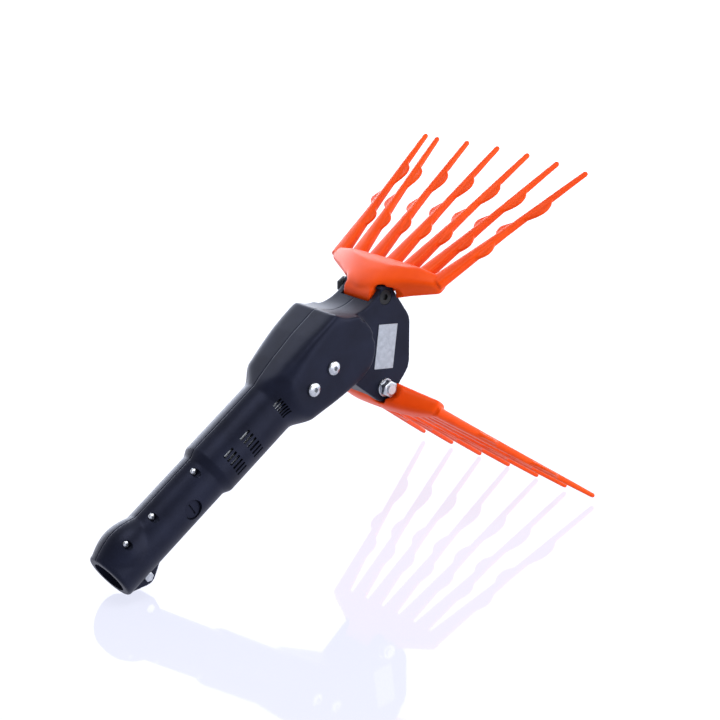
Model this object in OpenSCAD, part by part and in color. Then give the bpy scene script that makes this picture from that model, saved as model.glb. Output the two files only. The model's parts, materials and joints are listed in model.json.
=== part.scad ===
// Electric olive harvester head: two swinging combs on a motor housing that clamps onto a pole.
// The tool lies on a table, on the rim of its pole socket and on the tips of its lower comb.
// X runs from the socket to the combs, Y across the tool, Z up from the table.

/* [Handle] */
// Angle of the handle below the head
handle_angle = 33.9; // [30:0.1:38]
// Length of the lower tube, from the socket mouth to the barrel
tube_len = 113.5; // [105:0.5:150]
// Outer radius of the lower tube
tube_r = 21.7; // [20:0.1:24]
// Outer radius of the motor barrel
barrel_r = 25; // [24:0.1:28]
// Where the tube steps up to the barrel, behind the crank axis
shoulder_back = 150; // [148:0.5:154]
// Length of the sloping shoulder
shoulder_len = 6; // [3:0.5:10]
// Radius of the pole bore
pole_r = 15; // [13:0.1:16]
// Depth of the pole bore
pole_depth = 62; // [45:1:66]
// How far the socket hump stands above the tube
hump_h = 6.3; // [3:0.1:8]
// Length of the socket hump
hump_len = 47; // [40:1:60]
// Half thickness of the clamp lug
lug_half = 9; // [7:0.5:11]
// Width of the clamp slit
slit_w = 1.6; // [1:0.1:3]

/* [Head] */
// Corner radius of the gear housing, about the handle
head_r = 43; // [42:0.1:45]
// Height of the gear housing above the handle
roof_h = 33.3; // [33:0.1:35]
// Half width between its two flat sides
flat_half = 29; // [28:0.25:30]
// Half width across the cheeks
cheek_half = 24; // [22.5:0.25:25]
// Wall of the housing
wall = 4; // [3.5:0.25:4.5]
// Distance from the crank axis to the comb hinges
hinge_ahead = 51; // [49:0.5:56]
// Height of each hinge from the head axis
hinge_rise = 40; // [39:0.5:44]
// Radius of the lower hinge ears
ear_r = 13; // [12:0.25:14]
// Radius of the upper hinge ears
upper_ear_r = 10.5; // [10:0.25:12]
// Reach of the cheeks in front of the hinges
cheek_ahead = 28.5; // [26:0.5:32]

/* [Combs] */
// Angle of each comb from the head axis, at rest
comb_angle = 36.8; // [30:0.1:45]
// Number of tines on a comb
tine_count = 7; // [5:2:9]
// Spacing of the tine roots
root_pitch = 21.3; // [20:0.1:24]
// Spacing of the tine tips
tip_pitch = 38; // [30:0.1:40]
// Tine length on the upper comb
upper_tine_len = 154; // [110:1:180]
// Tine length on the lower comb
lower_tine_len = 184; // [110:1:190]
// Tine radius at the root
tine_root_r = 4; // [3.5:0.1:4.6]
// Tine radius at the tip
tine_tip_r = 2.4; // [1.5:0.1:3]
// Height of the fins above the middle of the tine
fin_h = 8.5; // [6:0.1:9]
// Thickness of the fins
fin_t = 2.6; // [1.5:0.1:3]
// How far the last far tine of the upper comb leans in at its tip
end_lean = 22; // [0:1:24]
// Distance of the tine roots from the hinge
root_ahead = 31; // [29:0.5:36]
// How far the tines lie inside the hinge
tine_drop = 0.5; // [0:0.5:3]
// Lean of the tines towards the other comb
tine_lean = 2.7; // [0:0.1:5]
// Half width of a tine blade at the root
blade_half = 6.8; // [5:0.1:7.5]
// Thickness of a tine blade
blade_t = 5.6; // [4:0.1:7]
// Half width of the comb hub
hub_half = 16.5; // [14:0.5:17]
// Radius of the comb hub
hub_r = 12; // [10:0.25:12]

/* [Drive] */
// Length of the comb levers
lever_len = 27; // [25:0.5:28]
// Throw of the crank
crank_throw = 5.2; // [4:0.1:5.5]
// Radius of the lever pins
lever_pin_r = 3; // [2.5:0.1:3.2]
// Radius of the crank pin
crank_pin_r = 3; // [2.5:0.1:3.5]
// Radius of the crank roller
roller_r = 5; // [4.5:0.1:5.3]
// Thickness of the yoke
yoke_t = 7; // [5:0.25:7.5]
// Teeth of the pinion
pinion_teeth = 10; // [10:1:10]
// Teeth of the crown gear
crown_teeth = 36; // [36:1:36]
// Middle radius of the crown gear teeth
crown_r = 26; // [26:0.1:26.6]
// Radius of the motor can
motor_r = 20.5; // [19:0.1:20.6]
// Length of the motor can
motor_len = 72; // [60:1:76]
// Radius of the motor shaft
shaft_r = 4; // [3:0.1:4.2]

/* [Fits] */
// Gap between pieces that are seated together
seat_gap = 0.1; // [0.05:0.01:0.15]
// Radial gap of a running fit
run_gap = 0.06; // [0.04:0.01:0.1]
// Gap at the open crank pivot
open_gap = 0.3; // [0.2:0.05:0.5]
// Radius of the hinge bolts
hinge_bolt_r = 4; // [3:0.1:4.2]
// Radius of the hinge bushes
bush_r = 6; // [5.5:0.1:7]
// Radius of the housing screws
small_screw_r = 2; // [1.5:0.1:2.1]
// Radius of the gear cover screws
big_screw_r = 3; // [2.5:0.1:3.5]
// Radius of the clamp bolt
clamp_bolt_r = 2.5; // [2:0.1:3]

/* [Hidden] */
$fn = 48;
eps = 0.01;
black = "#23252b";
orange = "#f2481c";
zinc = "#c9ccd1";
steel = "#8f949b";

// Handle frame: X along the handle from the socket to the crank axis, Z square to it, crank axis at zero
handle_len = shoulder_back + tube_len;
mouth = -handle_len;
pole_stop = mouth + pole_depth;
hump_mid = mouth + hump_len / 2;
rim_chamfer = 1.5;
flare_start = -84;
flare_end = -52;
flare_r = head_r - 6.2;
ridge_at = 9;
head_front_r = roof_h + 1.7;
roof = [[flare_start, barrel_r + 0.3], [-43, roof_h - 3.8], [-15, roof_h - 1]];

// Chambers
gear_room_half = flat_half - wall;
gear_room_r = roof_h - 3;
cheek_room_half = cheek_half - wall - 2;
motor_room_r = barrel_r - wall + 1.3;
motor_front = -60.2;
motor_back = motor_front - motor_len;
cap_len = 6;
wire_room_r = 13;
link_room_back = -50;
link_room_half = 10;
bulkhead_back = motor_front + 0.2;

// Screw places, as handle X, handle Z
screw_rise = pole_r + small_screw_r + 0.6;
screw_back = [24, 55, 8.5];
small_screws = [
    [mouth + screw_back[0], tube_r + hump_h - 7.5],
    [mouth + screw_back[1], screw_rise],
    [-shoulder_back - screw_back[2], screw_rise]
];
small_seat_y = 9.2;
small_end_y = 7;
small_head_r = 3;
small_head_h = 2;
small_well_r = small_head_r + 0.5;
big_screws = [-40, -14.5];
big_head_r = 6;
big_head_h = 3.2;
lug_at = [mouth + 22.5, -(pole_r + clamp_bolt_r + 2.5)];
lug_r = 9;
lug_lip = [mouth + 7.5, 1 - pole_r, 7.5];
lug_tail = [mouth + 34, 2 - pole_r, 9];
clamp_head_r = clamp_bolt_r * 1.7;
plug_at = -shoulder_back - 31;
plug_r = 7;
plug_t = 3;
plug_sink = 1.2;
vents = [-129, -108.5, -69];
vent_len = 11;
vent_w = 2;
vent_step = 9.5;
vent_turn = -8;
vent_count = 6;

// Cheek outline circles, as X, Z, radius
upper_ear = [hinge_ahead, hinge_rise, upper_ear_r];
lower_ear = [hinge_ahead, -hinge_rise, ear_r];
upper_front = [hinge_ahead + cheek_ahead - 16, 13, 16];
lower_front = [hinge_ahead + cheek_ahead - 18.5, -20, 18.5];
saddle = [11, hinge_rise + 35, 44.6];
under_web = [20, -17, 12];
label_w = 21;
label_h = 39;
label_t = 0.6;
label_turn = 7.5;
label_at = [hinge_ahead + 0.5, -3.5];

// Hinge fittings
washer_t = 1.6;
washer_r = 8;
nut_r = 7.5;
nut_t = 6.5;
bolt_end = 1.5;
bolt_head_r = 6.4;
bolt_head_h = 3;
bolt_head_y = cheek_half - 0.2;
bolt_key_r = 2.9;
window_gap = 2.5;

// Comb base, as distances along the comb, across it and away from the other comb
base_half = root_pitch * (tine_count - 1) / 2 + 4;
base_front = root_ahead + 3;
base_mid = [11, 40];
base_end = 23;
base_top = [13.5, 3];
base_low = 9.5;
base_side = [
    [-2, 17.5], [10, 16.5], [24, 14], [base_front, 8], [base_front, -4.5], [25, -base_low], [-2, -base_low]
];
neck = [[-9.6, 7.2], [-2, 17.5], [12, 16], [12, -base_low], [0, -hub_r]];
base_steps = 16;
ear_gap = 1.5;
blade_reach = 0.42;
fins = [[0.17, 0.37, -1], [0.56, 0.385, 1], [0.54, 0.765, -1]];
fin_steps = 10;
lever_r = 5.5;
lever_t = 4.8;
lever_inner = yoke_t / 2 + 0.7;

// Yoke
slot_half = roller_r + seat_gap;
slot_reach = crank_throw + slot_half;
yoke_wall = 4;
shank_half = 6;
bar_half = 7;
bar_reach = hinge_rise - lever_len + 7;
pin_slot_half = lever_pin_r + 0.15;
pin_slot_reach = lever_pin_r + 0.8;

// Motor insides
can_wall = 1.5;
magnet_t = 3.4;
air_gap = 1.5;
arm_r = motor_r - can_wall - seat_gap - magnet_t - air_gap;
comm_start = 4;
comm_len = 10;
arm_start = comm_start + comm_len + 2;
arm_front = 12;
coil_slot = 4.5;
block_gap = 4;
block_len = 16;
lead_gap = 3.5;

// Crown gear, with its tooth tips facing the pinion
pinion_r = crown_r * pinion_teeth / crown_teeth;
pinion_tip_r = pinion_r + 1.1;
pinion_root_r = pinion_r - 1.5;
pinion_tip_half = 0.45;
pinion_root_half = 1;
crown_tip_y = pinion_r - 0.7;
crown_face_y = pinion_r + 2;
crown_back_y = crown_face_y + 5;
tooth_half_len = 2.5;
crown_tooth_half = 0.55;
crown_rim_r = crown_r + tooth_half_len + 0.5;
bearing_r = 11;
bearing_w = 4;
bearing_y = [crown_back_y + 1.2, crown_back_y + 1.6 + bearing_w];
shaft_end_y = bearing_y[1] + bearing_w;
pinion_front = -(crown_r - 3);
pinion_back = -(crown_r + 3);

// Gear carrier and its guide rails
carrier_t = 6.5;
carrier_waist = 1;
carrier_y = -gear_room_half + seat_gap;
rail = [16, 28];
rail_h = 6;
rail_y = crown_tip_y - 1;

// Rest on the table: the lowest points of the socket rim and of the lower tips
rim_low = [mouth * cos(handle_angle) + tube_r * sin(handle_angle), mouth * sin(handle_angle) - tube_r * cos(handle_angle)];
tip_ahead = root_ahead + lower_tine_len * cos(tine_lean);
tip_drop = tine_drop + lower_tine_len * sin(tine_lean);
tip_low = [
    hinge_ahead + tip_ahead * cos(comb_angle) + tip_drop * sin(comb_angle),
    -hinge_rise - tip_ahead * sin(comb_angle) + tip_drop * cos(comb_angle) - tine_tip_r
];
rest_tilt = atan2(rim_low[1] - tip_low[1], tip_low[0] - rim_low[0]);
rest_z = -(rim_low[0] * sin(rest_tilt) + rim_low[1] * cos(rest_tilt));
back_x = mouth * cos(handle_angle) - tube_r * sin(handle_angle);
front_x = tip_low[0] + tine_tip_r;
rest_x = -(back_x + front_x) / 2;

module rest() {
    translate([rest_x, 0, rest_z]) rotate([0, -rest_tilt, 0]) children();
}

module handle_frame() {
    rotate([0, -handle_angle, 0]) children();
}

// Turns a profile of [radius, handle X] points about the handle
module about_handle() {
    rotate([0, 90, 0]) rotate_extrude() children();
}

// Extrudes an outline drawn in X, Z across Y, between two Y values
module across(y0, y1) {
    translate([0, y1, 0]) rotate([90, 0, 0]) linear_extrude(y1 - y0) children();
}

module disc(c, grow = 0) {
    translate([c[0], c[1]]) circle(c[2] + grow);
}

// Two circles and the straight web between them, on their tangents or, with a waist, that much inside them
module link(c1, c2, grow = 0, waist = 0) {
    r1 = c1[2] + grow - waist;
    r2 = c2[2] + grow - waist;
    run = [c2[0] - c1[0], c2[1] - c1[1]];
    heading = atan2(run[1], run[0]);
    spread = acos((r1 - r2) / norm(run));
    disc(c1, grow);
    disc(c2, grow);
    polygon([
        for (s = [1, -1]) [c1[0] + r1 * cos(heading + s * spread), c1[1] + r1 * sin(heading + s * spread)],
        for (s = [-1, 1]) [c2[0] + r2 * cos(heading + s * spread), c2[1] + r2 * sin(heading + s * spread)]
    ]);
}

module y_cylinder(r, y0, y1) {
    translate([0, y1, 0]) rotate([90, 0, 0]) cylinder(r = r, h = y1 - y0);
}

// Housing

function blend(t) = t * t * (3 - 2 * t);

module handle_profile() {
    flare_steps = 10;
    polygon([
        [0, mouth],
        [tube_r - rim_chamfer, mouth],
        [tube_r, mouth + rim_chamfer],
        [tube_r, -shoulder_back],
        [barrel_r, -shoulder_back + shoulder_len],
        for (i = [0:flare_steps])
            [barrel_r + (flare_r - barrel_r) * blend(i / flare_steps),
             flare_start + (flare_end - flare_start) * i / flare_steps],
        [head_r, ridge_at],
        [head_r, head_r],
        [0, head_r]
    ]);
}

// Side view of the handle and the gear housing: low roof, round front
module head_outline() {
    high = head_r + 20;
    ridge_turn = 75;
    under_turn = 100;
    polygon([
        [mouth - 1, -high],
        [mouth - 1, high],
        [flare_start, high],
        for (p = roof) p,
        for (t = [ridge_turn:-5:-under_turn]) [head_front_r * cos(t), head_front_r * sin(t) - 1],
        [roof[1][0], -roof[1][1]],
        [roof[0][0], -roof[0][1]],
        [flare_start, -high]
    ]);
}

module hump_profile() {
    steps = 12;
    polygon([
        [0, mouth],
        for (i = [0:steps])
            [tube_r - hump_h + hump_h * sin(180 * i / steps), mouth + hump_len * i / steps],
        [0, mouth + hump_len]
    ]);
}

// Both cheeks seen from the side; grow moves the outline out or, when negative, in
module cheek_outline(grow = 0) {
    difference() {
        union() {
            link([0, 0, gear_room_r + wall - 1], upper_ear, grow);
            link(under_web, lower_ear, grow);
            link(upper_ear, upper_front, grow);
            link(upper_front, lower_front, grow);
            link(lower_front, lower_ear, grow);
            polygon([[0, 0], [upper_ear[0], upper_ear[1]], [upper_front[0], 0], [lower_ear[0], lower_ear[1]]]);
        }
        disc(saddle, -grow);
    }
}

module clamp_lug() {
    lug = [lug_at[0], lug_at[1], lug_r];
    across(-lug_half, lug_half) {
        link(lug_lip, lug);
        link(lug, lug_tail);
    }
}

module housing_outside() {
    difference() {
        handle_frame() intersection() {
            about_handle() handle_profile();
            across(-flat_half, flat_half) head_outline();
        }
        across(-flat_half - 1, flat_half + 1) disc(saddle);
    }
    handle_frame() {
        translate([0, 0, hump_h]) about_handle() hump_profile();
        clamp_lug();
    }
    across(-cheek_half, cheek_half) cheek_outline();
}

module handle_bore(r, a0, a1) {
    translate([a0, 0, 0]) rotate([0, 90, 0]) cylinder(r = r, h = a1 - a0);
}

module housing_inside() {
    handle_frame() {
        handle_bore(pole_r, mouth - 1, pole_stop);
        handle_bore(wire_room_r, pole_stop + wall, -shoulder_back - 1);
        handle_bore(wire_room_r / 2, pole_stop - 1, -shoulder_back + shoulder_len);
        difference() {
            handle_bore(motor_room_r, -shoulder_back + shoulder_len, bulkhead_back);
            for (a = [motor_back + 4, motor_front - 8]) difference() {
                handle_bore(motor_room_r + 1, a, a + 3);
                handle_bore(motor_r + seat_gap, a - 1, a + 4);
            }
        }
        handle_bore(link_room_half + 2, bulkhead_back - 1, -gear_room_r / 2);
        translate([link_room_back, -gear_room_half, -link_room_half])
            cube([-link_room_back, 2 * gear_room_half, 2 * link_room_half]);
        translate([mouth - 1, -slit_w / 2, -barrel_r * 2]) cube([pole_depth + 1, slit_w, barrel_r * 2 - pole_r / 2]);
    }
    y_cylinder(gear_room_r, -gear_room_half, gear_room_half);
    across(-cheek_room_half, cheek_room_half) cheek_outline(-wall);
    comb_windows();
}

// Room for the comb hubs, open at the top and the bottom of the head
module comb_windows() {
    for (s = [1, -1]) translate([hinge_ahead, 0, s * hinge_rise]) {
        y_cylinder(hub_r + window_gap, -cheek_room_half, cheek_room_half);
        translate([-hub_r - window_gap, -cheek_room_half, s > 0 ? 0 : -ear_r * 2])
            cube([cheek_ahead + hub_r + window_gap + 1, 2 * cheek_room_half, ear_r * 2]);
        translate([0, -cheek_room_half, s > 0 ? -hub_r : -ear_r * 2 + hub_r])
            cube([cheek_ahead + 1, 2 * cheek_room_half, ear_r * 2]);
    }
}

module vent_slots() {
    handle_frame() for (side = [0, 180], a = vents, i = [0:vent_count - 1])
        rotate([(side == 0 ? 1 : -1) * (vent_turn - (i - (vent_count - 1) / 2) * vent_step) + side, 0, 0])
            translate([a - vent_len / 2, -head_r, -vent_w / 2])
                cube([vent_len, head_r - motor_room_r + wall, vent_w]);
}

// Holes that cross both halves along Y
module cross_holes() {
    for (s = [1, -1]) translate([hinge_ahead, 0, s * hinge_rise]) rotate([0, 0, s > 0 ? 180 : 0]) {
        y_cylinder(hinge_bolt_r + seat_gap, -flat_half, flat_half);
        y_cylinder(bolt_head_r + 0.4, bolt_head_y - bolt_head_h, flat_half);
    }
    handle_frame() {
        translate([lug_at[0], 0, lug_at[1]]) {
            y_cylinder(clamp_bolt_r + seat_gap, -flat_half, flat_half);
            y_cylinder(clamp_head_r + 0.6, -flat_half, -lug_half);
            y_cylinder(clamp_head_r + 0.6, lug_half, flat_half);
        }
        for (p = small_screws) translate([p[0], 0, p[1]]) {
            y_cylinder(small_screw_r + seat_gap, -small_seat_y - 1, small_end_y + 0.5);
            y_cylinder(small_well_r, -flat_half, -small_seat_y);
        }
    }
}

module right_only_holes() {
    handle_frame() {
        for (a = big_screws) translate([a, 0, 0]) y_cylinder(big_screw_r + seat_gap, -flat_half - 1, 0);
        translate([plug_at, 0, 0]) y_cylinder(plug_r + seat_gap, -flat_half, -tube_r + plug_sink + plug_t);
        translate([plug_at, 0, 0]) y_cylinder(plug_r - 2, -flat_half, 0);
    }
}

module crank_boss() {
    y_cylinder(bearing_r + wall, bearing_y[0] - 0.4, gear_room_half + 1);
}

module crank_boss_bore() {
    y_cylinder(bearing_r + seat_gap, 0, shaft_end_y + seat_gap);
}

module right_housing() {
    color(black) rest() difference() {
        housing_outside();
        housing_inside();
        vent_slots();
        cross_holes();
        right_only_holes();
        translate([-2 * handle_len, 0, -handle_len]) cube([4 * handle_len, flat_half + 1, 2 * handle_len]);
    }
}

module left_housing() {
    color(black) rest() difference() {
        union() {
            difference() {
                housing_outside();
                housing_inside();
            }
            crank_boss();
        }
        crank_boss_bore();
        vent_slots();
        cross_holes();
        translate([-2 * handle_len, -flat_half - 1, -handle_len])
            cube([4 * handle_len, flat_half + 1, 2 * handle_len]);
    }
}

// Fasteners and trim

module housing_screws() {
    head_y = -small_seat_y;
    color(zinc) rest() handle_frame() for (p = small_screws) translate([p[0], 0, p[1]]) {
        y_cylinder(small_screw_r, head_y - eps, small_end_y);
        difference() {
            y_cylinder(small_head_r, head_y - small_head_h, head_y);
            translate([-small_head_r, head_y - small_head_h - 1, -0.5]) cube([2 * small_head_r, 2, 1]);
            translate([-0.5, head_y - small_head_h - 1, -small_head_r]) cube([1, 2, 2 * small_head_r]);
        }
    }
}

module gear_cover_screws() {
    color(zinc) rest() handle_frame() for (a = big_screws) translate([a, 0, 0]) {
        y_cylinder(big_screw_r, -flat_half - eps, carrier_y + carrier_t - 0.5);
        difference() {
            y_cylinder(big_head_r, -flat_half - big_head_h, -flat_half);
            y_cylinder($fn = 6, r = big_screw_r * 0.8, y0 = -flat_half - big_head_h - 1, y1 = -flat_half - 1);
        }
    }
}

module clamp_bolt() {
    color(zinc) rest() handle_frame() translate([lug_at[0], 0, lug_at[1]]) {
        y_cylinder(clamp_bolt_r, -lug_half - eps, lug_half + 8);
        y_cylinder($fn = 6, r = clamp_head_r, y0 = -lug_half - 4, y1 = -lug_half);
    }
}

module clamp_nut() {
    color(zinc) rest() handle_frame() translate([lug_at[0], 0, lug_at[1]]) difference() {
        y_cylinder($fn = 6, r = clamp_head_r, y0 = lug_half, y1 = lug_half + 5);
        y_cylinder(clamp_bolt_r + seat_gap / 2, lug_half - 1, lug_half + 6);
    }
}

module slotted_plug() {
    face_y = -tube_r + plug_sink;
    color(black) rest() handle_frame() translate([plug_at, 0, 0]) difference() {
        y_cylinder(plug_r, face_y, face_y + plug_t);
        translate([-plug_r * 0.6, face_y - 1, -0.8]) cube([plug_r * 1.2, 2, 1.6]);
    }
}

module label_plate() {
    color(zinc) rest() translate([label_at[0], -cheek_half - label_t, label_at[1]]) rotate([0, label_turn, 0])
        translate([-label_w / 2, 0, -label_h / 2]) cube([label_w, label_t, label_h]);
}

// Both hinges; the upper fittings are turned round, so that their nut is on the far side
module at_hinges() {
    rest() for (s = [1, -1]) translate([hinge_ahead, 0, s * hinge_rise]) rotate([0, 0, s > 0 ? 180 : 0]) children();
}

module hinge_bolts() {
    color(black) at_hinges() difference() {
        union() {
            y_cylinder(hinge_bolt_r, -cheek_half - washer_t - nut_t - bolt_end, bolt_head_y - bolt_head_h + eps);
            y_cylinder(bolt_head_r, bolt_head_y - bolt_head_h, bolt_head_y);
        }
        y_cylinder($fn = 6, r = bolt_key_r, y0 = bolt_head_y - bolt_head_h + 1, y1 = bolt_head_y + 1);
    }
}

module hinge_nuts() {
    color(zinc) at_hinges() difference() {
        y_cylinder($fn = 6, r = nut_r, y0 = -cheek_half - washer_t - nut_t, y1 = -cheek_half - washer_t);
        y_cylinder(hinge_bolt_r + seat_gap / 2, -flat_half * 2, 0);
    }
}

module hinge_washers() {
    y0 = -cheek_half - washer_t;
    color(zinc) at_hinges() difference() {
        y_cylinder(washer_r, y0, y0 + washer_t);
        y_cylinder(hinge_bolt_r + seat_gap, y0 - 1, y0 + washer_t + 1);
    }
}

// Combs, drawn from the hinge with X along the tines and Z away from the other comb

// One fin: swells slowly from its start and ends in a round nose, as shares of the tine's length
module fin(spec, len) {
    polygon([for (i = [0:fin_steps]) let (u = i / fin_steps)
        [len * (spec[0] + (spec[1] - spec[0]) * u), spec[2] * fin_h * pow(max(0, sin(180 * pow(u, 1.5))), 0.7)]]);
}

// A tine from its root, with its tip moved sideways by lean
module tine(k, len, lean) {
    heading = atan2((tip_pitch - root_pitch) * k - lean, len);
    back = 4;
    translate([root_ahead, root_pitch * k, -tine_drop]) rotate([0, 0, heading]) rotate([0, tine_lean, 0]) {
        translate([-back, 0, 0]) rotate([0, 90, 0]) cylinder(r1 = tine_root_r, r2 = tine_tip_r, h = len + back);
        translate([len, 0, 0]) sphere(tine_tip_r);
        translate([0, 0, -fin_t / 2]) linear_extrude(fin_t) for (f = fins) fin(f, len);
        translate([0, 0, -blade_t / 2]) linear_extrude(blade_t) polygon([
            [-back, -blade_half], [len * blade_reach, -tine_tip_r], [len * blade_reach, tine_tip_r], [-back, blade_half]
        ]);
    }
}

// Crescent bar that carries the tines: wide and thick in the middle, slim at its ends
module comb_base() {
    deep = 2 * hub_r;
    intersection() {
        translate([0, 0, -deep]) linear_extrude(2 * deep) polygon([
            [0, -hub_half], [base_mid[0], -base_mid[1]], [base_end, -base_half], [base_front, -base_half],
            [base_front, base_half], [base_end, base_half], base_mid, [0, hub_half]
        ]);
        translate([-deep, 0, 0]) rotate([90, 0, 90]) linear_extrude(deep + base_front + 1) polygon([
            for (i = [0:base_steps]) let (w = 2 * i / base_steps - 1)
                [base_half * w, base_top[1] + (base_top[0] - base_top[1]) * (1 - w * w)],
            [base_half, -base_low], [-base_half, -base_low]
        ]);
        across(-base_half, base_half) polygon(base_side);
    }
}

// Room beside the neck for a hinge ear, the front edge of its cheek and its nut, over the whole swing
module ear_room(ear) {
    across(hub_half + 0.5, cheek_half + ear_gap) {
        circle(ear + 1);
        polygon([
            [-2 * hub_r, 4], [ear + 0.8, 4], [ear + 4.2, -base_low - 1],
            [ear + 4.2, -3 * hub_r], [-2 * hub_r, -3 * hub_r]
        ]);
    }
    y_cylinder(washer_r + ear_gap, cheek_half, cheek_half + washer_t + nut_t + bolt_end + ear_gap);
}

module comb_solid(len, lean, ear) {
    last = (tine_count - 1) / 2;
    difference() {
        union() {
            difference() {
                comb_base();
                ear_room(ear);
                mirror([0, 1, 0]) ear_room(ear);
            }
            across(-hub_half, hub_half) {
                circle(hub_r);
                polygon(neck);
            }
            for (k = [-last:last]) tine(k, len, k == last ? lean : 0);
        }
        y_cylinder(bush_r + seat_gap / 2, -hub_half - 1, hub_half + 1);
    }
}

// The two lever arms that reach from the hub to the yoke
module comb_levers() {
    for (y0 = [lever_inner, -lever_inner - lever_t]) difference() {
        across(y0, y0 + lever_t) link([0, 0, hub_r - 1], [0, -lever_len, lever_r]);
        y_cylinder(bush_r + seat_gap / 2, y0 - 1, y0 + lever_t + 1);
        translate([0, 0, -lever_len]) y_cylinder(lever_pin_r + seat_gap / 2, y0 - 1, y0 + lever_t + 1);
    }
}

module comb(len, lean, ear) {
    rotate([0, -comb_angle, 0]) comb_solid(len, lean, ear);
    comb_levers();
}

module at_upper_hinge() {
    rest() translate([hinge_ahead, 0, hinge_rise]) children();
}

module at_lower_hinge() {
    rest() mirror([0, 0, 1]) translate([hinge_ahead, 0, hinge_rise]) children();
}

module bush() {
    difference() {
        y_cylinder(bush_r, -hub_half - 0.5, hub_half + 0.5);
        y_cylinder(hinge_bolt_r + run_gap, -hub_half - 2, hub_half + 2);
    }
}

module lever_pin() {
    reach = lever_inner + lever_t + 1;
    translate([0, 0, -lever_len]) y_cylinder(lever_pin_r, -reach, reach);
}

module upper_comb() {
    color(orange) at_upper_hinge() comb(upper_tine_len, end_lean, upper_ear_r);
}

module lower_comb() {
    color(orange) at_lower_hinge() comb(lower_tine_len, 0, ear_r);
}

module upper_comb_bush() {
    color("#b08d57") at_upper_hinge() bush();
}

module lower_comb_bush() {
    color("#b08d57") at_lower_hinge() bush();
}

module upper_lever_pin() {
    color(steel) at_upper_hinge() lever_pin();
}

module lower_lever_pin() {
    color(steel) at_lower_hinge() lever_pin();
}

// Crank and yoke

module yoke_outline() {
    difference() {
        union() {
            link([0, crank_throw, slot_half + yoke_wall], [0, -crank_throw, slot_half + yoke_wall]);
            translate([0, -shank_half]) square([hinge_ahead, 2 * shank_half]);
            link([hinge_ahead, bar_reach - bar_half, bar_half], [hinge_ahead, -bar_reach + bar_half, bar_half]);
        }
        link([0, crank_throw, slot_half], [0, -crank_throw, slot_half]);
        for (s = [1, -1]) translate([hinge_ahead, s * (hinge_rise - lever_len)])
            square([2 * pin_slot_half, 2 * pin_slot_reach], center = true);
    }
}

module yoke() {
    color(steel) rest() across(-yoke_t / 2, yoke_t / 2) yoke_outline();
}

module crank_pin() {
    color(zinc) rest() translate([0, 0, crank_throw]) {
        y_cylinder(crank_pin_r, -yoke_t / 2 - 1.5, crown_face_y - open_gap);
    }
}

module crank_roller() {
    color("#b08d57") rest() translate([0, 0, crank_throw]) difference() {
        y_cylinder(roller_r, -yoke_t / 2, yoke_t / 2);
        y_cylinder(crank_pin_r + run_gap, -yoke_t, yoke_t);
    }
}

// Plate on the right housing that the cover screws hold, with the two rails that guide the yoke
module gear_carrier() {
    plate_mid = [12, 0, 13.5];
    nose = [cos(handle_angle), sin(handle_angle)];
    outer = concat(big_screws[0] * nose, 8);
    inner = concat(big_screws[1] * nose, 9);
    color("#9aa0a6") rest() difference() {
        union() {
            across(carrier_y, carrier_y + carrier_t) {
                link(outer, inner, 0, carrier_waist);
                link(inner, plate_mid, 0, carrier_waist);
            }
            for (s = [1, -1]) translate([rail[0], carrier_y, s > 0 ? shank_half + seat_gap : -shank_half - seat_gap - rail_h])
                cube([rail[1] - rail[0], rail_y - carrier_y, rail_h]);
        }
        handle_frame() for (a = big_screws) translate([a, 0, 0])
            y_cylinder(big_screw_r + seat_gap / 2, -flat_half, 0);
    }
}

module crown_gear() {
    color(steel) rest() difference() {
        union() {
            y_cylinder(crown_rim_r, crown_face_y, crown_back_y);
            handle_frame() for (i = [0:crown_teeth - 1]) rotate([0, (i + 0.5) * 360 / crown_teeth, 0])
                translate([-crown_r - tooth_half_len, crown_tip_y, -crown_tooth_half])
                    cube([2 * tooth_half_len, crown_face_y - crown_tip_y + 0.5, 2 * crown_tooth_half]);
        }
        y_cylinder(shaft_r + seat_gap / 2, 0, crown_back_y + 1);
    }
}

module crank_shaft() {
    color(zinc) rest() {
        y_cylinder(shaft_r, crown_face_y, shaft_end_y);
        y_cylinder(shaft_r + 2, crown_back_y, bearing_y[0] - seat_gap);
    }
}

module crank_bearings() {
    color(steel) rest() for (y0 = bearing_y) difference() {
        y_cylinder(bearing_r, y0, y0 + bearing_w);
        y_cylinder(shaft_r + run_gap, y0 - 1, y0 + bearing_w + 1);
    }
}

// Motor

module pinion_outline() {
    circle(pinion_root_r);
    for (i = [0:pinion_teeth - 1]) rotate(i * 360 / pinion_teeth) polygon([
        [pinion_root_r - 0.5, -pinion_root_half], [pinion_tip_r, -pinion_tip_half],
        [pinion_tip_r, pinion_tip_half], [pinion_root_r - 0.5, pinion_root_half]
    ]);
}

module drive_pinion() {
    color(steel) rest() handle_frame() difference() {
        translate([pinion_back, 0, 0]) rotate([0, 90, 0]) rotate([0, 0, 90])
            linear_extrude(pinion_front - pinion_back) pinion_outline();
        handle_bore(shaft_r + seat_gap / 2, pinion_back - 1, pinion_front + 1);
    }
}

module motor_shaft() {
    color(zinc) rest() handle_frame() handle_bore(shaft_r, motor_back - cap_len - 3, pinion_front + 0.5);
}

module armature() {
    color("#7a4a2b") rest() handle_frame() difference() {
        handle_bore(arm_r, motor_back + arm_start, motor_front - arm_front);
        handle_bore(shaft_r + seat_gap / 2, motor_back, motor_front);
        for (i = [0:8]) rotate([i * 40, 0, 0]) translate([motor_back, -1, arm_r - coil_slot])
            cube([motor_len, 2, coil_slot + 1]);
    }
}

module commutator() {
    color("#b87333") rest() handle_frame() difference() {
        handle_bore(motor_r / 2, motor_back + comm_start, motor_back + comm_start + comm_len);
        handle_bore(shaft_r + seat_gap / 2, motor_back, motor_front);
    }
}

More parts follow.
